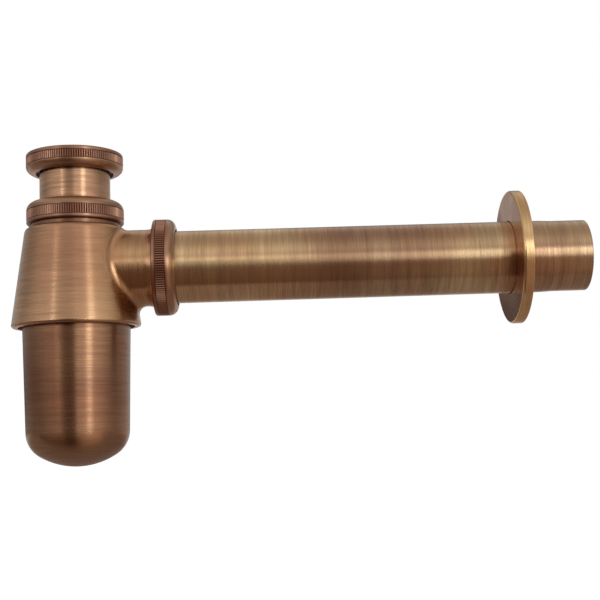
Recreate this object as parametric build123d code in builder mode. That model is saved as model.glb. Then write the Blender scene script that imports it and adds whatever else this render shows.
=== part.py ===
from build123d import *
from math import asin, degrees, sqrt
import os

# Brass bottle trap for a wash basin, in millimetres.
# The origin is the centre of the inlet thread's lower end, just above the inlet washer.
# +Z runs up the inlet, and +X runs along the outlet tube to the wall.

# Tubes
outlet_tube_radius = 16.0
outlet_tube_wall = 1.0
inlet_tube_radius = 15.5
inlet_tube_wall = 1.0
tube_edge_round = 0.3

# Layout, measured from the outlet tube's axis or from the inlet's axis
inlet_drop = 46.7
outlet_reach = 226.8
dip_depth = 64.0
body_top_rise = 18.4
skirt_drop = 25.5
cup_drop = 86.0
branch_reach = 40.75
flange_reach = 192.9

# Clearances: brass that slides or screws, rubber on what it grips, and faces that press together
slip_gap = 0.3
seal_gap = 0.15
seat_gap = 0.1

# Threaded necks of the body
neck_wall = 2.7
neck_thread_length = 4.6
neck_chamfer = 0.4
mouth_chamfer = 1.6

# Knurled union nuts: two tall ones at the compression joints and a low one at the inlet
nut_wall = 2.0
nut_hole_gap = 0.9
nut_lip = 0.3
nut_groove = 0.35
nut_groove_depth = 0.4
nut_rim_round = 0.8
nut_mouth_chamfer = 0.4
nut_thread_relief = 0.25
joint_nut_rim = 1.5
joint_nut_knurl = 3.9
joint_nut_dome = 3.75
joint_nut_floor = 1.8
inlet_nut_rim = 1.6
inlet_nut_knurl = 3.2
inlet_nut_dome = 3.1
inlet_nut_floor = 1.3
knurl_teeth = 128
knurl_depth = 0.4

# Slip rings, tapered seals and the inlet washer
slip_ring_thickness = 1.0
slip_ring_margin = 0.6
seal_back = 0.9
seal_tip = 0.45
collar_thickness = 1.0
collar_margin = 0.7
washer_thickness = 1.2

# Cast body
body_top_radius = 21.95
skirt_radius = 28.25
shoulder_round = 2.5
skirt_round = 1.2
neck_ring_radius = 19.6
neck_ring_height = 1.5
neck_relief_depth = 0.6
branch_waist_radius = 17.0
branch_waist_reach = 31.8
branch_collar_radius = 17.9
branch_collar_reach = 34.7
branch_blend = 3.4
branch_wall = 2.8
cavity_wall = 2.6
cavity_round = 2.0
roof_wall = 4.6

# Cup, with its thread up inside the body's skirt
cup_rim_radius = 23.45
cup_foot_radius = 22.2
cup_wall = 1.6
cup_dome_radius = 31.0
cup_corner_radius = 12.4
cup_thread_height = 0.95
cup_thread_length = 8.5
cup_thread_inset = 0.6
cup_seal_thickness = 1.6
cup_seal_width = 2.4
skirt_mouth_step = 0.7
skirt_mouth_depth = 2.5

# Wall flange, hollow at the back, with a rubber ring in its hub
flange_radius = 29.7
flange_thickness = 4.6
flange_plate = 1.2
flange_rim = 1.8
flange_front_round = 1.1
flange_back_round = 0.3
flange_bore_gap = 0.35
flange_hub_wall = 3.6
flange_hub_recess = 0.4
flange_ring_section = 1.1

# Outlet tube's end, turned down to enter the pipe in the wall
spigot_length = 14.8
spigot_step = 0.25
spigot_taper = 6.0

# Radii that follow from the sizes above
thread_radius = outlet_tube_radius + slip_gap + neck_wall
nut_bore = thread_radius + slip_gap
nut_radius = nut_bore + nut_wall
nut_hole = outlet_tube_radius + nut_hole_gap
neck_bore = inlet_tube_radius + slip_gap
branch_socket = outlet_tube_radius + slip_gap
cup_thread_radius = cup_rim_radius + cup_thread_height
skirt_bore = cup_thread_radius + slip_gap
cup_seat_radius = cup_thread_radius - cup_seal_width

# Heights on the inlet's axis
outlet_z = -inlet_drop
body_top = outlet_z + body_top_rise
skirt_bottom = outlet_z - skirt_drop
cup_bottom = outlet_z - cup_drop
dip_end = outlet_z - dip_depth
neck_ring_top = body_top + neck_ring_height
body_nut_bottom = neck_ring_top + slip_gap
joint_nut_height = joint_nut_rim + joint_nut_knurl + 2 * nut_groove + joint_nut_dome
joint_floor_height = joint_nut_height - joint_nut_floor
slip_ring_height = joint_floor_height - seat_gap - slip_ring_thickness
inlet_ring_bottom = body_nut_bottom + slip_ring_height
inlet_seal_top = inlet_ring_bottom - seat_gap
neck_top = inlet_seal_top - seal_back
cavity_top = body_top - roof_wall
skirt_mouth_top = skirt_bottom + skirt_mouth_depth
cup_collar_bottom = skirt_mouth_top + cup_thread_inset
cup_top = cup_collar_bottom + cup_thread_length
cup_seat = cup_top + cup_seal_thickness + 2 * seat_gap
inlet_nut_height = inlet_nut_rim + inlet_nut_knurl + 2 * nut_groove + inlet_nut_dome
washer_bottom = -seat_gap - washer_thickness
collar_bottom = washer_bottom - collar_thickness
inlet_floor = collar_bottom - seat_gap
inlet_mouth = inlet_floor + inlet_nut_height - inlet_nut_floor

# Places along the outlet's axis
outlet_ring_start = branch_reach + seal_back + seat_gap
outlet_nut_start = outlet_ring_start - slip_ring_height
tube_stop = branch_collar_reach + slip_gap
outlet_axis = Axis((0, 0, outlet_z), (1, 0, 0))

# Half sections of what is turned about each axis: the body's is on the side away from its branch
body_section = Plane(origin=(0, 0, 0), x_dir=(-1, 0, 0), z_dir=(0, 1, 0))
outlet_section = Plane(origin=(0, 0, outlet_z), x_dir=(1, 0, 0), z_dir=(0, -1, 0))

os.makedirs("parts", exist_ok=True)


def knurled_nut(seat, rim, knurl, dome, floor, thread_end):
    """Union nut whose open end lies on seat, with its dome towards seat's normal."""
    height = rim + knurl + 2 * nut_groove + dome
    knurl_start = rim + nut_groove
    knurl_end = knurl_start + knurl
    groove_radius = nut_radius - nut_groove_depth
    relief_radius = nut_bore + nut_thread_relief
    dome_edge = nut_hole + nut_lip
    section = Plane(origin=seat.origin, x_dir=seat.x_dir, z_dir=-seat.y_dir)
    with BuildPart() as nut:
        with BuildSketch(section):
            with BuildLine():
                EllipticalCenterArc((dome_edge, height - dome), nut_radius - dome_edge, dome, arc_size=90)
                Polyline(
                    (dome_edge, height),
                    (nut_hole, height),
                    (nut_hole, height - floor),
                    (relief_radius, height - floor),
                    (relief_radius, thread_end),
                    (nut_bore, thread_end),
                    (nut_bore, nut_mouth_chamfer),
                    (nut_bore + nut_mouth_chamfer, 0),
                    (nut_radius - nut_rim_round, 0),
                )
                CenterArc((nut_radius - nut_rim_round, nut_rim_round), nut_rim_round, 270, 90)
                Polyline(
                    (nut_radius, nut_rim_round),
                    (nut_radius, rim),
                    (groove_radius, rim),
                    (groove_radius, knurl_start),
                    (nut_radius, knurl_start),
                    (nut_radius, knurl_end),
                    (groove_radius, knurl_end),
                    (groove_radius, knurl_end + nut_groove),
                    (nut_radius, knurl_end + nut_groove),
                )
            make_face()
        revolve(axis=Axis(seat.origin, seat.z_dir))
        with BuildSketch(seat.offset(knurl_start)):
            with PolarLocations(nut_radius, knurl_teeth):
                Rectangle(sqrt(2) * knurl_depth, sqrt(2) * knurl_depth, rotation=45)
        extrude(amount=knurl, mode=Mode.SUBTRACT)
    return nut


def tapered_seal(back, tube_radius, mouth_radius):
    """Rubber wedge ring: back's normal points away from the neck, and the wedge enters its mouth."""
    wedge = seal_back + mouth_chamfer - seal_tip
    inner = tube_radius + seal_gap
    tip = mouth_radius + seal_tip - sqrt(2) * seal_gap
    outer = mouth_radius + mouth_chamfer - sqrt(2) * seal_gap
    section = Plane(origin=back.origin, x_dir=back.x_dir, z_dir=-back.y_dir)
    with BuildPart() as seal:
        with BuildSketch(section):
            with BuildLine():
                Polyline(
                    (inner, 0),
                    (inner, -wedge),
                    (tip, -wedge),
                    (outer, -seal_back),
                    (outer, 0),
                    close=True,
                )
            make_face()
        revolve(axis=Axis(back.origin, back.z_dir))
    return seal


def flat_ring(seat, inner_radius, outer_radius, thickness):
    """Plain ring that stands on seat."""
    with BuildPart() as ring:
        with BuildSketch(seat):
            Circle(outer_radius)
            Circle(inner_radius, mode=Mode.SUBTRACT)
        extrude(amount=thickness)
    return ring


# Inlet nut: its open end points up and takes the basin waste
inlet_nut = knurled_nut(
    Plane(origin=(0, 0, inlet_mouth), x_dir=(1, 0, 0), z_dir=(0, 0, -1)),
    inlet_nut_rim,
    inlet_nut_knurl,
    inlet_nut_dome,
    inlet_nut_floor,
    inlet_mouth,
)
inlet_nut.part.label = "inlet_nut"
export_step(inlet_nut.part, "parts/inlet_nut.step")

# Inlet washer: flat rubber gasket on the inlet tube's collar
inlet_washer = flat_ring(
    Plane.XY.offset(washer_bottom),
    inlet_tube_radius - inlet_tube_wall,
    nut_bore - collar_margin,
    washer_thickness,
)
inlet_washer.part.label = "inlet_washer"
export_step(inlet_washer.part, "parts/inlet_washer.step")

# Inlet tube: dips into the cup, and hangs by its collar in the inlet nut
with BuildPart() as inlet_tube:
    with BuildSketch(Plane.XY.offset(dip_end)):
        Circle(inlet_tube_radius)
    extrude(amount=washer_bottom - dip_end)
    with BuildSketch(Plane.XY.offset(collar_bottom)):
        Circle(nut_bore - collar_margin)
    extrude(amount=collar_thickness)
    with BuildSketch(Plane.XY.offset(dip_end)):
        Circle(inlet_tube_radius - inlet_tube_wall)
    extrude(amount=washer_bottom - dip_end, mode=Mode.SUBTRACT)
    fillet(inlet_tube.faces().sort_by(Axis.Z)[0].edges(), tube_edge_round)
inlet_tube.part.label = "inlet_tube"
export_step(inlet_tube.part, "parts/inlet_tube.step")

# Body nut: presses the inlet seal into the body's neck
body_nut = knurled_nut(
    Plane.XY.offset(body_nut_bottom),
    joint_nut_rim,
    joint_nut_knurl,
    joint_nut_dome,
    joint_nut_floor,
    neck_thread_length,
)
body_nut.part.label = "body_nut"
export_step(body_nut.part, "parts/body_nut.step")

# Inlet slip ring: lets the body nut turn without dragging the rubber round
inlet_slip_ring = flat_ring(
    Plane.XY.offset(inlet_ring_bottom),
    inlet_tube_radius + slip_gap,
    nut_bore - slip_ring_margin,
    slip_ring_thickness,
)
inlet_slip_ring.part.label = "inlet_slip_ring"
export_step(inlet_slip_ring.part, "parts/inlet_slip_ring.step")

# Inlet seal: grips the inlet tube and fills the mouth of the neck
inlet_seal = tapered_seal(Plane.XY.offset(inlet_seal_top), inlet_tube_radius, neck_bore)
inlet_seal.part.label = "inlet_seal"
export_step(inlet_seal.part, "parts/inlet_seal.step")

# Trap body: one casting with a threaded neck, a cone that ends in a skirt, and a side branch
cone_slope = (skirt_radius - body_top_radius) / (body_top - skirt_bottom)
cavity_top_radius = body_top_radius + cone_slope * roof_wall - cavity_wall
neck_thread_start = neck_top - neck_thread_length
branch_thread_start = branch_reach - neck_thread_length
with BuildPart() as trap_body:
    with BuildSketch(body_section) as casting:
        with BuildLine():
            Polyline(
                (0, neck_top),
                (thread_radius - neck_chamfer, neck_top),
                (thread_radius, neck_top - neck_chamfer),
                (thread_radius, neck_thread_start),
                (thread_radius - neck_relief_depth, neck_thread_start),
                (thread_radius - neck_relief_depth, neck_ring_top),
                (neck_ring_radius, neck_ring_top),
                (neck_ring_radius, body_top),
                (body_top_radius, body_top),
                (skirt_radius, skirt_bottom),
                (0, skirt_bottom),
                close=True,
            )
        make_face()
        fillet(casting.vertices().sort_by_distance((body_top_radius, body_top))[0], shoulder_round)
        fillet(casting.vertices().sort_by_distance((skirt_radius, skirt_bottom))[0], skirt_round)
    revolve(axis=Axis.Z)
    with BuildSketch(outlet_section):
        with BuildLine():
            Polyline((0, 0), (0, branch_waist_radius), (branch_waist_reach, branch_waist_radius))
            TangentArc(
                (branch_waist_reach, branch_waist_radius),
                (branch_collar_reach, branch_collar_radius),
                tangent=(1, 0),
            )
            Polyline(
                (branch_collar_reach, branch_collar_radius),
                (branch_thread_start, branch_collar_radius),
                (branch_thread_start, thread_radius),
                (branch_reach - neck_chamfer, thread_radius),
                (branch_reach, thread_radius - neck_chamfer),
                (branch_reach, 0),
                (0, 0),
            )
        make_face()
    revolve(axis=outlet_axis)
    crease = trap_body.edges().filter_by(lambda edge: edge.geom_type not in (GeomType.CIRCLE, GeomType.LINE))
    fillet(crease, branch_blend)
    with BuildSketch(body_section) as inside:
        with BuildLine():
            Polyline(
                (0, neck_top),
                (neck_bore + mouth_chamfer, neck_top),
                (neck_bore, neck_top - mouth_chamfer),
                (neck_bore, cavity_top),
                (cavity_top_radius, cavity_top),
                (cup_seat_radius, cup_seat),
                (skirt_bore, cup_seat),
                (skirt_bore, skirt_mouth_top),
                (skirt_bore + skirt_mouth_step, skirt_mouth_top),
                (skirt_bore + skirt_mouth_step, skirt_bottom),
                (0, skirt_bottom),
                close=True,
            )
        make_face()
        fillet(inside.vertices().sort_by_distance((cavity_top_radius, cavity_top))[0], cavity_round)
    revolve(axis=Axis.Z, mode=Mode.SUBTRACT)
    with BuildSketch(outlet_section):
        with BuildLine():
            Polyline(
                (0, 0),
                (0, branch_waist_radius - branch_wall),
                (tube_stop, branch_waist_radius - branch_wall),
                (tube_stop, branch_socket),
                (branch_reach - mouth_chamfer, branch_socket),
                (branch_reach, branch_socket + mouth_chamfer),
                (branch_reach, 0),
                close=True,
            )
        make_face()
    revolve(axis=outlet_axis, mode=Mode.SUBTRACT)
trap_body.part.label = "trap_body"
export_step(trap_body.part, "parts/trap_body.step")

# Cup seal: flat rubber ring between the cup's rim and its seat in the body
cup_seal = flat_ring(
    Plane.XY.offset(cup_top + seat_gap),
    cup_seat_radius,
    cup_thread_radius - seal_gap,
    cup_seal_thickness,
)
cup_seal.part.label = "cup_seal"
export_step(cup_seal.part, "parts/cup_seal.step")


def cup_form(inset):
    """Half section of the cup's round-bottomed form, taken in from its outside by inset."""
    dome = cup_dome_radius - inset
    rim = cup_rim_radius - inset
    foot = cup_foot_radius - inset
    bottom = cup_bottom + inset
    foot_z = bottom + dome - sqrt(dome**2 - foot**2)
    wall_top = cup_collar_bottom - cup_thread_height
    with BuildSketch(body_section) as form:
        with BuildLine():
            CenterArc((0, bottom + dome), dome, 270, degrees(asin(foot / dome)))
            Polyline((foot, foot_z), (rim, wall_top), (rim, cup_top), (0, cup_top), (0, bottom))
        make_face()
        fillet(form.vertices().sort_by_distance((foot, foot_z))[0], cup_corner_radius - inset)
    return form.sketch


# Cup: thin brass bowl with a threaded collar round its rim
with BuildPart() as cup:
    add(cup_form(0))
    revolve(axis=Axis.Z)
    with BuildSketch(body_section):
        with BuildLine():
            Polyline(
                (cup_rim_radius - cup_wall, cup_top),
                (cup_rim_radius - cup_wall, cup_collar_bottom - cup_thread_height),
                (cup_rim_radius, cup_collar_bottom - cup_thread_height),
                (cup_thread_radius, cup_collar_bottom),
                (cup_thread_radius, cup_top),
                close=True,
            )
        make_face()
    revolve(axis=Axis.Z)
    add(cup_form(cup_wall))
    revolve(axis=Axis.Z, mode=Mode.SUBTRACT)
cup.part.label = "cup"
export_step(cup.part, "parts/cup.step")

# Outlet nut: presses the outlet seal into the branch's mouth
outlet_nut = knurled_nut(
    Plane(origin=(outlet_nut_start, 0, outlet_z), x_dir=(0, 0, 1), z_dir=(1, 0, 0)),
    joint_nut_rim,
    joint_nut_knurl,
    joint_nut_dome,
    joint_nut_floor,
    neck_thread_length,
)
outlet_nut.part.label = "outlet_nut"
export_step(outlet_nut.part, "parts/outlet_nut.step")

# Outlet slip ring: between the outlet nut and the rubber
outlet_slip_ring = flat_ring(
    Plane(origin=(outlet_ring_start, 0, outlet_z), x_dir=(0, 0, 1), z_dir=(1, 0, 0)),
    outlet_tube_radius + slip_gap,
    nut_bore - slip_ring_margin,
    slip_ring_thickness,
)
outlet_slip_ring.part.label = "outlet_slip_ring"
export_step(outlet_slip_ring.part, "parts/outlet_slip_ring.step")

# Outlet seal: grips the outlet tube in the branch's mouth
outlet_seal = tapered_seal(
    Plane(origin=(branch_reach + seal_back, 0, outlet_z), x_dir=(0, 0, 1), z_dir=(1, 0, 0)),
    outlet_tube_radius,
    branch_socket,
)
outlet_seal.part.label = "outlet_seal"
export_step(outlet_seal.part, "parts/outlet_seal.step")

# Outlet tube: straight, from its stop in the branch to the turned-down end in the wall
spigot_start = outlet_reach - spigot_length
with BuildPart() as outlet_tube:
    with BuildSketch(outlet_section) as tube_section:
        with BuildLine():
            Polyline(
                (tube_stop + seat_gap, outlet_tube_radius - outlet_tube_wall),
                (tube_stop + seat_gap, outlet_tube_radius),
                (spigot_start - spigot_taper, outlet_tube_radius),
                (spigot_start, outlet_tube_radius - spigot_step),
                (outlet_reach, outlet_tube_radius - spigot_step),
                (outlet_reach, outlet_tube_radius - outlet_tube_wall),
                close=True,
            )
        make_face()
        fillet(tube_section.vertices().group_by(Axis.X)[-1], tube_edge_round)
    revolve(axis=outlet_axis)
outlet_tube.part.label = "outlet_tube"
export_step(outlet_tube.part, "parts/outlet_tube.step")

# Wall flange: flat plate with a rim, and a hub that holds the rubber ring
flange_back = flange_reach + flange_thickness
hub_radius = outlet_tube_radius + flange_bore_gap + flange_hub_wall
hub_back = flange_back - flange_hub_recess
ring_place = (flange_reach + hub_back) / 2
ring_radius = outlet_tube_radius + seal_gap + flange_ring_section
ring_room = flange_ring_section + seat_gap
with BuildPart() as wall_flange:
    with BuildSketch(outlet_section) as plate:
        with BuildLine():
            Polyline(
                (flange_reach, outlet_tube_radius + flange_bore_gap),
                (flange_reach, flange_radius),
                (flange_back, flange_radius),
                (flange_back, flange_radius - flange_rim),
                (flange_reach + flange_plate, flange_radius - flange_rim),
                (flange_reach + flange_plate, hub_radius),
                (hub_back, hub_radius),
                (hub_back, outlet_tube_radius + flange_bore_gap),
                (ring_place + ring_room, outlet_tube_radius + flange_bore_gap),
                (ring_place + ring_room, ring_radius + ring_room),
                (ring_place - ring_room, ring_radius + ring_room),
                (ring_place - ring_room, outlet_tube_radius + flange_bore_gap),
                close=True,
            )
        make_face()
        fillet(plate.vertices().sort_by_distance((flange_reach, flange_radius))[0], flange_front_round)
        fillet(plate.vertices().sort_by_distance((flange_back, flange_radius))[0], flange_back_round)
    revolve(axis=outlet_axis)
wall_flange.part.label = "wall_flange"
export_step(wall_flange.part, "parts/wall_flange.step")

# Wall flange ring: round rubber ring that holds the flange where it is put
with BuildPart() as wall_flange_ring:
    with BuildSketch(outlet_section):
        with Locations((ring_place, ring_radius)):
            Circle(flange_ring_section)
    revolve(axis=outlet_axis)
wall_flange_ring.part.label = "wall_flange_ring"
export_step(wall_flange_ring.part, "parts/wall_flange_ring.step")
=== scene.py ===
import bpy
from math import pi, radians
from mathutils import Matrix, Vector


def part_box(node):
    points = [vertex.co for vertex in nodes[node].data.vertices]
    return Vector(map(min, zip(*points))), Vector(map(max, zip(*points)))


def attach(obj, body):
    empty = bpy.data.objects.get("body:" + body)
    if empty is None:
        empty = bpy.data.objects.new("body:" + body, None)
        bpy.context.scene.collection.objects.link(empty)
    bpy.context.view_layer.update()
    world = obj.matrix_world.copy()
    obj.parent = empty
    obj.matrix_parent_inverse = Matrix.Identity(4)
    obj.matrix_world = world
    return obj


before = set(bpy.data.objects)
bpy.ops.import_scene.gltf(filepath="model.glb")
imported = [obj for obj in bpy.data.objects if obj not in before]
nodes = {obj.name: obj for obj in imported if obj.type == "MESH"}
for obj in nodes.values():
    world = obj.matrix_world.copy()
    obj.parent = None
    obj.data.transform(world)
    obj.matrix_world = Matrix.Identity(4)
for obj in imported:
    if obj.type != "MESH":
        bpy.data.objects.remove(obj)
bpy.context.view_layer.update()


# Trap body: one brass casting, turned and then brushed in rings, round the inlet's axis on the cone
# and round the outlet's axis on the branch. The antique finish is a thin brown bronze tone over the
# yellow brass, rubbed back by the brush so that both show in fine rings; a painted highlight makes it
# lighter and more golden towards the branch.
golden = (0.570, 0.339, 0.190, 1)
copper = (0.488, 0.254, 0.142, 1)
neck_brown = (0.30, 0.135, 0.075, 1)
stained_rough = 0.36
branch_side_highlight = (1.18, 1.23, 1.10, 1)
highlight_start = 0.006
highlight_full = 0.018
branch_radius = 0.0186
branch_foot = 0.014
bare_neck = 0.0018
outlet_z = (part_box("outlet_tube")[0].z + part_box("outlet_tube")[1].z) / 2
inlet_line = ("Z", (0, 0, 0))
outlet_line = ("X", (0, 0, outlet_z))

# Brush marks: their number per metre along the axis and round it, and how ragged they are.
fine_lines = (1800, 80, 3)
broad_bands = (480, 26, 3)
soft_clouds = (24, 22, 2)
cloud_edges = (0.34, 0.66)
line_edges = (0.3, 0.7)
rough_swing = 0.05
scratch_depth = 0.00002


def add_node(material, kind, **settings):
    """One shader node with its settings in place."""
    node = material.node_tree.nodes.new(kind)
    for key, value in settings.items():
        setattr(node, key, value)
    return node


def join(material, source, target):
    """Links one socket to another."""
    material.node_tree.links.new(source, target)


def from_axis(material, line):
    """Two sockets: the place along a piece's axis, and the distance from it, in metres."""
    axis, point = line
    place = add_node(material, "ShaderNodeTexCoord")
    centred = add_node(material, "ShaderNodeVectorMath", operation="SUBTRACT")
    centred.inputs[1].default_value = point
    parts = add_node(material, "ShaderNodeSeparateXYZ")
    flat = add_node(material, "ShaderNodeVectorMath", operation="MULTIPLY")
    flat.inputs[1].default_value = (0, 1, 1) if axis == "X" else (1, 1, 0)
    distance = add_node(material, "ShaderNodeVectorMath", operation="LENGTH")
    join(material, place.outputs["Object"], centred.inputs[0])
    join(material, centred.outputs[0], parts.inputs[0])
    join(material, centred.outputs[0], flat.inputs[0])
    join(material, flat.outputs[0], distance.inputs[0])
    return parts.outputs[axis], distance.outputs["Value"]


def ramp_between(material, value, low, high):
    """Socket that goes from 0 at low to 1 at high, and may run downwards."""
    spread = add_node(material, "ShaderNodeMapRange", interpolation_type="SMOOTHSTEP")
    spread.inputs["From Min"].default_value = low
    spread.inputs["From Max"].default_value = high
    join(material, value, spread.inputs["Value"])
    return spread.outputs["Result"]


def both(material, first, second):
    """Socket that is 1 only where two masks are."""
    product = add_node(material, "ShaderNodeMath", operation="MULTIPLY")
    join(material, first, product.inputs[0])
    join(material, second, product.inputs[1])
    return product.outputs[0]


def brushed_brass(name, line, gold=golden, brown=copper, rough=0.29, contrast=0.55, coat=0.4, turned=None):
    """Brass with an antique finish, brushed round a line, or round the outlet's where turned is 1."""
    material = bpy.data.materials.new(name)
    material.use_nodes = True
    shader = material.node_tree.nodes["Principled BSDF"]
    shader.inputs["Metallic"].default_value = 1
    shader.inputs["Anisotropic"].default_value = 0.7
    shader.inputs["Anisotropic Rotation"].default_value = 0.25
    shader.inputs["Coat Weight"].default_value = coat
    shader.inputs["Coat Roughness"].default_value = 0.22
    place = add_node(material, "ShaderNodeTexCoord")
    along_x = line[0] == "X"
    other_way = turned(material) if turned else None

    def give(socket, vector, turned_vector):
        """Gives a socket one of two vectors, by which way the brush went there."""
        socket.default_value = vector
        if turned:
            choice = add_node(material, "ShaderNodeMix", data_type="VECTOR")
            choice.inputs["A"].default_value = vector
            choice.inputs["B"].default_value = turned_vector
            join(material, other_way, choice.inputs["Factor"])
            join(material, choice.outputs["Result"], socket)

    def brush_noise(along, around, detail):
        """Noise drawn out round the piece: along and around are its marks per metre."""
        round_x = (along, around, around)
        round_z = (around, around, along)
        stretch = add_node(material, "ShaderNodeVectorMath", operation="MULTIPLY")
        noise = add_node(material, "ShaderNodeTexNoise")
        noise.inputs["Scale"].default_value = 1
        noise.inputs["Detail"].default_value = detail
        join(material, place.outputs["Object"], stretch.inputs[0])
        give(stretch.inputs[1], round_x if along_x else round_z, round_x)
        join(material, stretch.outputs[0], noise.inputs["Vector"])
        return noise.outputs["Fac"]

    lines = brush_noise(*fine_lines)
    bands = brush_noise(*broad_bands)
    cloud = brush_noise(*soft_clouds)

    warm = add_node(material, "ShaderNodeMix", data_type="RGBA")
    warm.inputs["A"].default_value = brown
    warm.inputs["B"].default_value = gold
    join(material, ramp_between(material, cloud, *cloud_edges), warm.inputs["Factor"])
    streaks = add_node(material, "ShaderNodeMath", operation="ADD")
    join(material, lines, streaks.inputs[0])
    join(material, bands, streaks.inputs[1])
    tone = add_node(material, "ShaderNodeMath", operation="MULTIPLY_ADD")
    tone.inputs[1].default_value = contrast
    tone.inputs[2].default_value = 1 - contrast
    join(material, streaks.outputs[0], tone.inputs[0])
    worn = add_node(material, "ShaderNodeMix", data_type="RGBA", blend_type="MULTIPLY")
    worn.inputs["Factor"].default_value = 1
    join(material, warm.outputs["Result"], worn.inputs["A"])
    join(material, tone.outputs[0], worn.inputs["B"])
    join(material, worn.outputs["Result"], shader.inputs["Base Color"])

    gloss = add_node(material, "ShaderNodeMapRange")
    gloss.inputs["From Min"].default_value, gloss.inputs["From Max"].default_value = line_edges
    gloss.inputs["To Min"].default_value = rough + rough_swing
    gloss.inputs["To Max"].default_value = rough - rough_swing
    join(material, lines, gloss.inputs["Value"])
    join(material, gloss.outputs["Result"], shader.inputs["Roughness"])

    scratches = add_node(material, "ShaderNodeBump")
    scratches.inputs["Strength"].default_value = 0.2
    scratches.inputs["Distance"].default_value = scratch_depth
    join(material, lines, scratches.inputs["Height"])
    join(material, scratches.outputs["Normal"], shader.inputs["Normal"])

    arm = add_node(material, "ShaderNodeVectorMath", operation="SUBTRACT")
    join(material, place.outputs["Object"], arm.inputs[0])
    give(arm.inputs[1], line[1], outlet_line[1])
    ring = add_node(material, "ShaderNodeVectorMath", operation="CROSS_PRODUCT")
    give(ring.inputs[0], (1, 0, 0) if along_x else (0, 0, 1), (1, 0, 0))
    join(material, arm.outputs[0], ring.inputs[1])
    grain = add_node(material, "ShaderNodeVectorTransform", convert_from="OBJECT", convert_to="WORLD")
    join(material, ring.outputs[0], grain.inputs[0])
    join(material, grain.outputs["Vector"], shader.inputs["Tangent"])
    return material


def lay_over(material, mask, colour, rough):
    """Lays a colour and roughness over the finish where the mask is 1: patina and dull bores, and painted
    shade in the nut holes.
    """
    shader = material.node_tree.nodes["Principled BSDF"]
    tint = add_node(material, "ShaderNodeMix", data_type="RGBA")
    tint.inputs["B"].default_value = colour
    dull = add_node(material, "ShaderNodeMix", data_type="FLOAT")
    dull.inputs["B"].default_value = rough
    join(material, mask, tint.inputs["Factor"])
    join(material, mask, dull.inputs["Factor"])
    join(material, shader.inputs["Base Color"].links[0].from_socket, tint.inputs["A"])
    join(material, shader.inputs["Roughness"].links[0].from_socket, dull.inputs["A"])
    join(material, tint.outputs["Result"], shader.inputs["Base Color"])
    join(material, dull.outputs["Result"], shader.inputs["Roughness"])


def tint_over(material, mask, tint):
    """Multiplies the finish's colour by a tint where the mask is 1, so that the brush marks stay."""
    shader = material.node_tree.nodes["Principled BSDF"]
    blend = add_node(material, "ShaderNodeMix", data_type="RGBA", blend_type="MULTIPLY")
    blend.inputs["B"].default_value = tint
    join(material, mask, blend.inputs["Factor"])
    join(material, shader.inputs["Base Color"].links[0].from_socket, blend.inputs["A"])
    join(material, blend.outputs["Result"], shader.inputs["Base Color"])


def dress(piece, material):
    """Gives a piece its finish."""
    piece.data.materials.clear()
    piece.data.materials.append(material)


def on_branch(material):
    """Mask of the side branch, which ends where it meets the cone."""
    along, distance = from_axis(material, outlet_line)
    near = ramp_between(material, distance, branch_radius + 0.0014, branch_radius)
    return both(material, near, ramp_between(material, along, branch_foot, branch_foot + 0.002))


body_brass = brushed_brass("body_brass", inlet_line, turned=on_branch)
body_height = from_axis(body_brass, inlet_line)[0]
neck_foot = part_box("body_nut")[0].z - bare_neck
neck_ring = ramp_between(body_brass, body_height, neck_foot - 0.0002, neck_foot + 0.0003)
lay_over(body_brass, neck_ring, neck_brown, stained_rough)
sideways = from_axis(body_brass, outlet_line)[0]
# Painted highlight: the body is lighter and more golden towards the branch.
tint_over(body_brass, ramp_between(body_brass, sideways, highlight_start, highlight_full), branch_side_highlight)
dress(nodes["trap_body"], body_brass)


# Cup: a bowl spun from thin brass sheet, which screws up into the skirt. It is brushed in rings on a
# lathe as the body is and keeps more of the brown finish, with a painted highlight towards its round
# bottom.
cup_gold = (0.39, 0.212, 0.112, 1)
cup_brown = (0.32, 0.146, 0.078, 1)
bottom_highlight = (1.18, 1.32, 1.32, 1)
cup_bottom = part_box("cup")[0].z
cup_highlight_start = cup_bottom + 0.034
cup_highlight_full = cup_bottom + 0.006
cup_brass = brushed_brass("cup_brass", inlet_line, cup_gold, cup_brown)
cup_height = from_axis(cup_brass, inlet_line)[0]
# Painted highlight: the cup is lighter and more golden towards its round bottom.
tint_over(cup_brass, ramp_between(cup_brass, cup_height, cup_highlight_start, cup_highlight_full), bottom_highlight)
dress(nodes["cup"], cup_brass)


# Seals, washer and slip rings: moulded black rubber, matt with a faint mottle from the mould, and
# harder nylon for the two rings that the joint nuts slip on.
rubber_dark = (0.018, 0.018, 0.018, 1)
rubber_pale = (0.045, 0.043, 0.041, 1)
nylon_dark = (0.040, 0.036, 0.032, 1)
nylon_pale = (0.065, 0.058, 0.052, 1)
mottles_per_metre = 900


def moulded(name, dark, pale, rough_low, rough_high):
    """Matt moulded stuff, mottled between two shades."""
    material = bpy.data.materials.new(name)
    material.use_nodes = True
    shader = material.node_tree.nodes["Principled BSDF"]
    shader.inputs["Specular IOR Level"].default_value = 0.35
    place = add_node(material, "ShaderNodeTexCoord")
    mottle = add_node(material, "ShaderNodeTexNoise")
    mottle.inputs["Scale"].default_value = mottles_per_metre
    shade = add_node(material, "ShaderNodeMix", data_type="RGBA")
    shade.inputs["A"].default_value = dark
    shade.inputs["B"].default_value = pale
    rough = add_node(material, "ShaderNodeMapRange")
    rough.inputs["To Min"].default_value = rough_low
    rough.inputs["To Max"].default_value = rough_high
    join(material, place.outputs["Object"], mottle.inputs["Vector"])
    join(material, mottle.outputs["Fac"], shade.inputs["Factor"])
    join(material, mottle.outputs["Fac"], rough.inputs["Value"])
    join(material, shade.outputs["Result"], shader.inputs["Base Color"])
    join(material, rough.outputs["Result"], shader.inputs["Roughness"])
    return material


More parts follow.
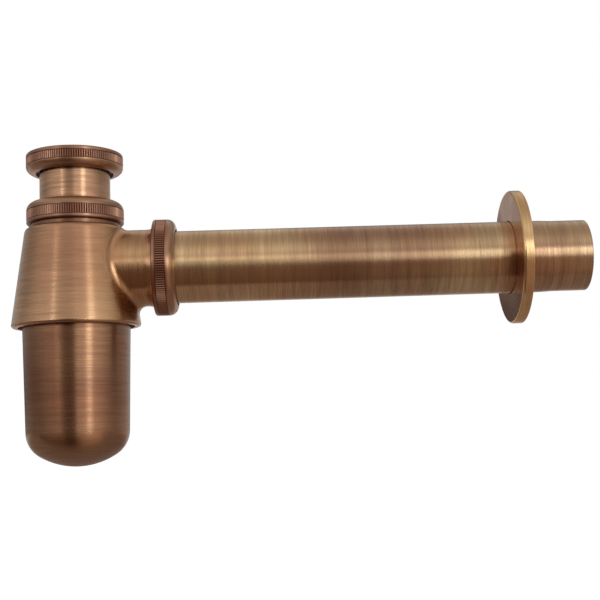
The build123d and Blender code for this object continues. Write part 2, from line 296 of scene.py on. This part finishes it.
seal_rubber = moulded("seal_rubber", rubber_dark, rubber_pale, rough_low=0.55, rough_high=0.8)
for name in ("outlet_seal", "cup_seal", "wall_flange_ring", "inlet_seal", "inlet_washer"):
    dress(nodes[name], seal_rubber)
slip_nylon = moulded("slip_nylon", nylon_dark, nylon_pale, rough_low=0.4, rough_high=0.55)
for name in ("inlet_slip_ring", "outlet_slip_ring"):
    dress(nodes[name], slip_nylon)


# Tubes: drawn brass, brushed in rings outside, dull and brown inside where the finish doesn't reach.
# Each slides in a rubber ring that its joint nut squeezes. The outlet tube is browner towards the wall.
inside_brown = (0.20, 0.115, 0.062, 1)
inside_rough = 0.5
skin = 0.0003
outlet_bore = 0.0150
outlet_gold = (0.84, 0.643, 0.349, 1)
outlet_brown = (0.67, 0.428, 0.229, 1)
wall_side_tint = (0.845, 0.815, 0.85, 1)
middle_tint = (0.815, 0.77, 0.80, 1)
spigot_tint = (0.89, 0.84, 0.86, 1)
inlet_bore = 0.0145
inlet_gold = (0.565, 0.321, 0.184, 1)
inlet_brown = (0.490, 0.246, 0.143, 1)


def tube_brass(name, line, bore, gold, brown):
    """Brushed brass outside a bore's radius, and dull brown in it."""
    material = brushed_brass(name, line, gold, brown, contrast=0.78)
    distance = from_axis(material, line)[1]
    inside = ramp_between(material, distance, bore + 2 * skin, bore + skin)
    lay_over(material, inside, inside_brown, inside_rough)
    return material


outlet_brass = tube_brass("outlet_tube_brass", outlet_line, outlet_bore, outlet_gold, outlet_brown)
outlet_along = from_axis(outlet_brass, outlet_line)[0]


def outlet_stretch(start, full):
    """Mask along the outlet tube, from 0 at start to 1 at full."""
    return ramp_between(outlet_brass, outlet_along, start, full)


tint_over(outlet_brass, outlet_stretch(start=0.080, full=0.115), wall_side_tint)
into_middle = outlet_stretch(start=0.095, full=0.120)
out_of_middle = outlet_stretch(start=0.170, full=0.145)
tint_over(outlet_brass, both(outlet_brass, into_middle, out_of_middle), middle_tint)
tint_over(outlet_brass, outlet_stretch(start=0.194, full=0.199), spigot_tint)
dress(nodes["outlet_tube"], outlet_brass)
inlet_brass = tube_brass("inlet_tube_brass", inlet_line, inlet_bore, inlet_gold, inlet_brown)
dress(nodes["inlet_tube"], inlet_brass)


# Wall flange: a round cover plate of brass, spun and then turned at the rim. A rubber ring in its bore
# holds it on the outlet tube. Its face is tinted darker and more mauve than the rim.
flange_gold = (0.87, 0.590, 0.295, 1)
flange_brown = (0.76, 0.475, 0.240, 1)
face_tint = (0.74, 0.60, 0.70, 1)
rim_radius = 0.0290
face_radius = 0.0284
flange_brass = brushed_brass("flange_brass", outlet_line, flange_gold, flange_brown, rough=0.27, coat=0.05)
flange_distance = from_axis(flange_brass, outlet_line)[1]
tint_over(flange_brass, ramp_between(flange_brass, flange_distance, rim_radius, face_radius), face_tint)
dress(nodes["wall_flange"], flange_brass)


# Union nuts: turned brass with a straight knurl, whose valleys keep the brown stain of the finish.
# The dome past the knurl is brushed in rings as the tubes are, and its hole is painted near black as
# painted shade.
nut_gold = (0.51, 0.308, 0.175, 1)
knurl_brown = (0.43, 0.218, 0.140, 1)
stain = (0.21, 0.098, 0.058, 1)
hole_shade = (0.035, 0.018, 0.011, 1)
nut_radius = 0.0213
tooth_top = nut_radius - 0.00005
tooth_foot = nut_radius - 0.00045
hole_edge = 0.0172
hole_radius = 0.0170
joint_knurl_end = 0.0061
inlet_knurl_end = 0.0055


def nut_brass(name, line, open_end, towards_dome, knurl_end):
    """Finish of a nut whose knurl ends at a distance from its open end, with painted shade in its hole."""
    material = brushed_brass(name, line, nut_gold, copper, rough=0.33)
    along, distance = from_axis(material, line)
    end = open_end + towards_dome * knurl_end
    knurl_side = ramp_between(material, along, end + towards_dome * 0.0006, end - towards_dome * 0.0002)
    lay_over(material, knurl_side, knurl_brown, stained_rough)
    valley = ramp_between(material, distance, tooth_top, tooth_foot)
    lay_over(material, both(material, valley, knurl_side), stain, 0.5)
    # Painted shade: the hole and its edge are painted near black.
    lay_over(material, ramp_between(material, distance, hole_edge, hole_radius), hole_shade, 0.6)
    return material


inlet_nut_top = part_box("inlet_nut")[1].z
body_nut_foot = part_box("body_nut")[0].z
outlet_nut_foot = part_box("outlet_nut")[0].x
inlet_nut_brass = nut_brass("inlet_nut_brass", inlet_line, inlet_nut_top, -1, inlet_knurl_end)
dress(nodes["inlet_nut"], inlet_nut_brass)
body_nut_brass = nut_brass("body_nut_brass", inlet_line, body_nut_foot, 1, joint_knurl_end)
dress(nodes["body_nut"], body_nut_brass)
outlet_nut_brass = nut_brass("outlet_nut_brass", outlet_line, outlet_nut_foot, 1, joint_knurl_end)
dress(nodes["outlet_nut"], outlet_nut_brass)


# Screw threads: right-handed ridges of 1.5 mm pitch, cut on the necks and the cup and in the nuts and
# the skirt. Each nut's ridge lies half a pitch from its neck's, so the two pass between each other.
pitch = 0.0015
ridge_depth = 0.00022
inlet_ridge_depth = 0.00035
ridge_half_width = 0.00035
steps_per_turn = 72
neck_radius = 0.0190
nut_thread_radius = 0.0193
cup_radius = 0.0244
skirt_radius = 0.0247
neck_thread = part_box("trap_body")[1].z - 0.0040
branch_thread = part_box("trap_body")[1].x - 0.0040
cup_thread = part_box("cup")[1].z - 0.0080
inlet_nut_thread = 0.0005
neck_length = 0.0032
joint_nut_length = 0.0034
inlet_nut_length = 0.0036
cup_length = 0.0075
skirt_length = 0.0095


def screw_thread(name, line, wall, depth, start, length, body, material):
    """Ridge on a wall's radius, from start along the line: depth is outwards, or inwards below zero."""
    bpy.ops.object.select_all(action="DESELECT")
    bpy.ops.mesh.primitive_circle_add(vertices=4, radius=1, location=(wall, 0, 0), rotation=(pi / 2, 0, 0))
    ridge = bpy.context.object
    ridge.name = name
    ridge.scale = (abs(depth), ridge_half_width, 1)
    bpy.ops.object.transform_apply(location=True, rotation=True, scale=True)
    turns = length / pitch
    rise = ridge.modifiers.new("rise", "SCREW")
    rise.angle = 2 * pi * turns
    rise.screw_offset = length
    rise.steps = round(steps_per_turn * turns)
    rise.render_steps = rise.steps
    bpy.ops.object.modifier_apply(modifier="rise")
    bpy.ops.object.mode_set(mode="EDIT")
    bpy.ops.mesh.select_all(action="SELECT")
    bpy.ops.mesh.fill_holes(sides=4)
    bpy.ops.mesh.normals_make_consistent(inside=False)
    bpy.ops.object.mode_set(mode="OBJECT")
    if line[0] == "X":
        ridge.rotation_euler = (0, pi / 2, 0)
        ridge.location = (start, 0, outlet_z)
    else:
        ridge.location = (0, 0, start)
    bpy.ops.object.transform_apply(location=True, rotation=True, scale=True)
    dress(ridge, material)
    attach(ridge, body)


screw_thread("neck_thread", inlet_line, neck_radius, ridge_depth, neck_thread, neck_length,
             "body", body_brass)
screw_thread("branch_thread", outlet_line, neck_radius, ridge_depth, branch_thread, neck_length,
             "body", body_brass)
screw_thread("cup_thread", inlet_line, cup_radius, ridge_depth, cup_thread, cup_length,
             "bowl", cup_brass)
screw_thread("skirt_thread", inlet_line, skirt_radius, -ridge_depth, cup_thread - pitch / 2, skirt_length,
             "body", body_brass)
screw_thread("body_nut_thread", inlet_line, nut_thread_radius, -ridge_depth, neck_thread - pitch / 2,
             joint_nut_length, "upper_nut", body_nut_brass)
screw_thread("outlet_nut_thread", outlet_line, nut_thread_radius, -ridge_depth, branch_thread - pitch / 2,
             joint_nut_length, "side_nut", outlet_nut_brass)
screw_thread("inlet_nut_thread", inlet_line, nut_thread_radius, -inlet_ridge_depth, inlet_nut_thread,
             inlet_nut_length, "waste_nut", inlet_nut_brass)


# Studio floor: a plain pale sheet well below the trap. It glows for the camera, and where it lies behind
# the trap for mirrored rays too, so that it is white as the backdrop is and keeps the shadow.
floor_size = 6
floor_front = -0.085
floor_middle = 0.1
floor_drop = 0.12
floor_pale = (0.48, 0.40, 0.37, 1)
floor_white = 0.88
mirrored_share = 0.3
mirrored_from = -2.6
mirrored_full = -2.1
bpy.ops.object.select_all(action="DESELECT")
bpy.ops.mesh.primitive_plane_add(
    size=floor_size, location=(floor_middle, floor_front + floor_size / 2, cup_bottom - floor_drop))
floor = bpy.context.object
floor.name = "floor"
paint = bpy.data.materials.new("floor_paint")
paint.use_nodes = True
paint.node_tree.nodes.clear()
surface = add_node(paint, "ShaderNodeOutputMaterial")
diffuse = add_node(paint, "ShaderNodeBsdfDiffuse")
diffuse.inputs["Color"].default_value = floor_pale
glow = add_node(paint, "ShaderNodeEmission")
floor_place = add_node(paint, "ShaderNodeTexCoord")
floor_parts = add_node(paint, "ShaderNodeSeparateXYZ")
join(paint, floor_place.outputs["Object"], floor_parts.inputs[0])
far = ramp_between(paint, floor_parts.outputs["Y"], mirrored_from, mirrored_full)
far.node.inputs["To Max"].default_value = mirrored_share


def seen_directly(material, share):
    """Socket that is 1 for the camera's own rays, and a share for mirrored and refracted ones."""
    rays = add_node(material, "ShaderNodeLightPath")
    mirrored = add_node(material, "ShaderNodeMath", operation="MAXIMUM")
    join(material, rays.outputs["Is Glossy Ray"], mirrored.inputs[0])
    join(material, rays.outputs["Is Transmission Ray"], mirrored.inputs[1])
    shown = add_node(material, "ShaderNodeMath", operation="MULTIPLY_ADD")
    join(material, mirrored.outputs[0], shown.inputs[0])
    join(material, share, shown.inputs[1])
    join(material, rays.outputs["Is Camera Ray"], shown.inputs[2])
    return shown.outputs[0]


level = add_node(paint, "ShaderNodeMath", operation="MULTIPLY")
level.inputs[1].default_value = floor_white
join(paint, seen_directly(paint, far), level.inputs[0])
join(paint, level.outputs[0], glow.inputs["Strength"])
sum_of = add_node(paint, "ShaderNodeAddShader")
join(paint, diffuse.outputs[0], sum_of.inputs[0])
join(paint, glow.outputs[0], sum_of.inputs[1])
join(paint, sum_of.outputs[0], surface.inputs["Surface"])
dress(floor, paint)


# Studio room: pale above and darker below the trap's level, brighter towards the right, with a white
# backdrop behind the trap. Each table gives a heading from -1 to 1, and the colour or height there.
room = bpy.data.worlds.new("room")
bpy.context.scene.world = room
room.use_nodes = True
background = room.node_tree.nodes["Background"]
look = add_node(room, "ShaderNodeTexCoord")
heading = add_node(room, "ShaderNodeSeparateXYZ")
join(room, look.outputs["Generated"], heading.inputs[0])
side_dim = 0.36
backdrop_share = 0.8


def shade_bands(value, bands):
    """Socket with colours blended along a heading that runs from -1 to 1."""
    spread = add_node(room, "ShaderNodeMapRange")
    spread.inputs["From Min"].default_value = -1
    spread.inputs["From Max"].default_value = 1
    join(room, value, spread.inputs["Value"])
    ramp = add_node(room, "ShaderNodeValToRGB")
    join(room, spread.outputs["Result"], ramp.inputs["Fac"])
    for band in bands[1:-1]:
        ramp.color_ramp.elements.new((band[0] + 1) / 2)
    for element, (place, colour) in zip(ramp.color_ramp.elements, bands):
        element.position = (place + 1) / 2
        element.color = (*colour, 1)
    return ramp.outputs["Color"]


upper_room = shade_bands(heading.outputs["Z"], [
    (-1.0, (0.30, 0.26, 0.25)),
    (0.0, (1.25, 1.23, 1.18)),
    (0.10, (1.38, 1.41, 1.40)),
    (0.22, (1.10, 1.07, 1.04)),
    (0.42, (0.50, 0.45, 0.44)),
    (0.60, (0.72, 0.69, 0.67)),
    (0.78, (0.62, 0.57, 0.54)),
    (0.92, (0.43, 0.385, 0.365)),
    (1.0, (0.37, 0.325, 0.315)),
])
lower_room = shade_bands(heading.outputs["X"], [
    (-1.0, (0.10, 0.068, 0.064)),
    (-0.75, (0.20, 0.124, 0.108)),
    (-0.40, (0.15, 0.086, 0.068)),
    (-0.22, (0.06, 0.034, 0.024)),
    (0.0, (0.052, 0.032, 0.023)),
    (0.17, (0.26, 0.168, 0.126)),
    (0.40, (0.44, 0.315, 0.255)),
    (0.80, (0.60, 0.443, 0.386)),
    (1.0, (0.24, 0.174, 0.150)),
])
skyline = shade_bands(heading.outputs["X"], [
    (-1.0, (0.12, 0.12, 0.12)),
    (-0.42, (0.14, 0.14, 0.14)),
    (-0.32, (0.27, 0.27, 0.27)),
    (0.05, (0.27, 0.27, 0.27)),
    (0.14, (0.0, 0.0, 0.0)),
    (0.40, (0.0, 0.0, 0.0)),
    (1.0, (0.05, 0.05, 0.05)),
])
above = add_node(room, "ShaderNodeMath", operation="SUBTRACT")
join(room, heading.outputs["Z"], above.inputs[0])
join(room, skyline, above.inputs[1])
walls = add_node(room, "ShaderNodeMix", data_type="RGBA")
join(room, ramp_between(room, above.outputs[0], -0.15, 0.03), walls.inputs["Factor"])
join(room, lower_room, walls.inputs["A"])
join(room, upper_room, walls.inputs["B"])
past_front = ramp_between(room, heading.outputs["Y"], -0.8, 0.3)
low_sides = both(room, past_front, ramp_between(room, heading.outputs["Z"], 0.95, 0.3))
sides = add_node(room, "ShaderNodeMapRange")
sides.inputs["To Min"].default_value = 1
sides.inputs["To Max"].default_value = side_dim
join(room, low_sides, sides.inputs["Value"])
dimmed = add_node(room, "ShaderNodeMix", data_type="RGBA", blend_type="MULTIPLY")
dimmed.inputs["Factor"].default_value = 1
join(room, walls.outputs["Result"], dimmed.inputs["A"])
join(room, sides.outputs["Result"], dimmed.inputs["B"])
behind = ramp_between(room, heading.outputs["Y"], 0.92, 0.98)
behind.node.inputs["To Max"].default_value = backdrop_share
backdrop = both(room, behind, ramp_between(room, heading.outputs["Z"], 0.08, 0.22))
white = add_node(room, "ShaderNodeMix", data_type="RGBA")
white.inputs["B"].default_value = (1, 1, 1, 1)
join(room, seen_directly(room, backdrop), white.inputs["Factor"])
join(room, dimmed.outputs["Result"], white.inputs["A"])
join(room, white.outputs["Result"], background.inputs["Color"])


# Three soft lights in front of the trap, a tall one and a small one to its right and a tall one to
# its left. They are a little cooler than the room.
cool_white = (0.9, 1.0, 1.0)
light_distance = 1.3


def strip_light(name, bearing, width, tall, lift, watts):
    """Upright soft light at a bearing from the trap's front, turned to the trap."""
    lamp = bpy.data.lights.new(name, "AREA")
    lamp.shape = "RECTANGLE"
    lamp.size = width
    lamp.size_y = tall
    lamp.energy = watts
    lamp.color = cool_white
    strip = bpy.data.objects.new(name, lamp)
    bpy.context.scene.collection.objects.link(strip)
    away = Matrix.Rotation(radians(bearing), 3, "Z") @ Vector((0, -light_distance, 0))
    strip.location = Vector((0, 0, outlet_z + lift)) + away
    strip.rotation_euler = away.to_track_quat("Z", "Y").to_euler()


strip_light("right_strip", bearing=35, width=0.26, tall=0.5, lift=0.12, watts=0.88)
strip_light("right_lamp", bearing=35, width=0.07, tall=0.12, lift=0.28, watts=0.36)
strip_light("left_strip", bearing=-33, width=0.1, tall=0.4, lift=0.32, watts=0.28)


# Camera: a little below the outlet tube and looking up, as in the photograph. It is also turned to the
# right and rolled, by two degrees each.
camera_place = (0.08207, -0.4855, -0.1162)
focal_length = 66.03
turn = radians(-1.953)
tilt = radians(6.249)
roll = radians(1.993)
lens = bpy.data.cameras.new("camera")
lens.sensor_width = 36
lens.lens = focal_length
camera = bpy.data.objects.new("camera", lens)
bpy.context.scene.collection.objects.link(camera)
camera.location = camera_place
aim = Matrix.Rotation(turn, 3, "Z") @ Matrix.Rotation(tilt, 3, "X")
upright = Matrix.Rotation(roll, 3, "Y") @ Matrix.Rotation(pi / 2, 3, "X")
camera.rotation_euler = (aim @ upright).to_euler()
bpy.context.scene.camera = camera
bpy.context.scene.view_settings.view_transform = "Standard"
